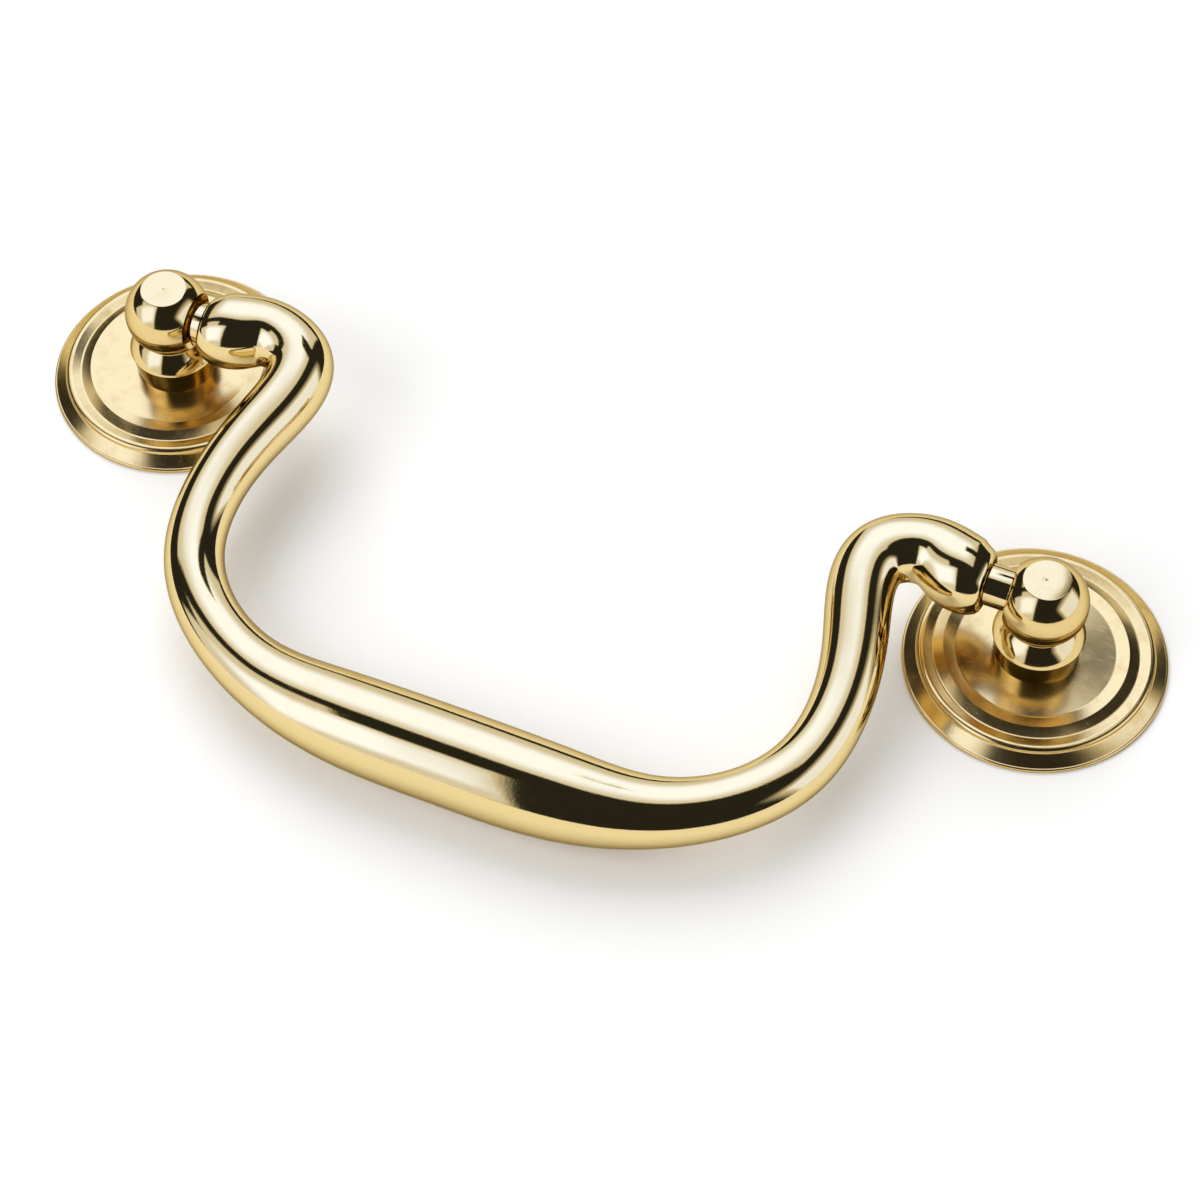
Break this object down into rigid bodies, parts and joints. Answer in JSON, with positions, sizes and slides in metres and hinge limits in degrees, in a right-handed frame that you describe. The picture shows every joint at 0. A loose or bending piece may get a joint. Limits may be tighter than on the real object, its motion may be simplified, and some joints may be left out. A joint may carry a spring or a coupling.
{
  "type": "bail pull",
  "caption": "Swan-neck bail pull: a brass bail with a swelling grip swings on its pins in ball-headed posts that stand on stepped round roses.",
  "frame": {"origin": "midway between the two fixing holes, on the face of the drawer front that the roses sit on", "axes": "+X from the left post to the right post, +Z out of the drawer front, and the bail lies towards -Y, where it hangs when the drawer front is upright"},
  "size_m": [0.1226, 0.0535, 0.0143],
  "materials": {
    "bail": "cast and polished",
    "post": "turned and polished",
    "rose": "pressed and polished"
  },
  "bodies": {
    "posts": {"left_post": "post", "right_post": "post", "left_rose": "rose", "right_rose": "rose"},
    "bail": {"bail": "bail"}
  },
  "joints": [
    {"name": "bail_swing", "type": "hinge", "parent": "posts", "child": "bail", "pos_m": [0, 0, 0.0103], "axis": [-1, 0, 0], "range_deg": [0, 162]}
  ]
}
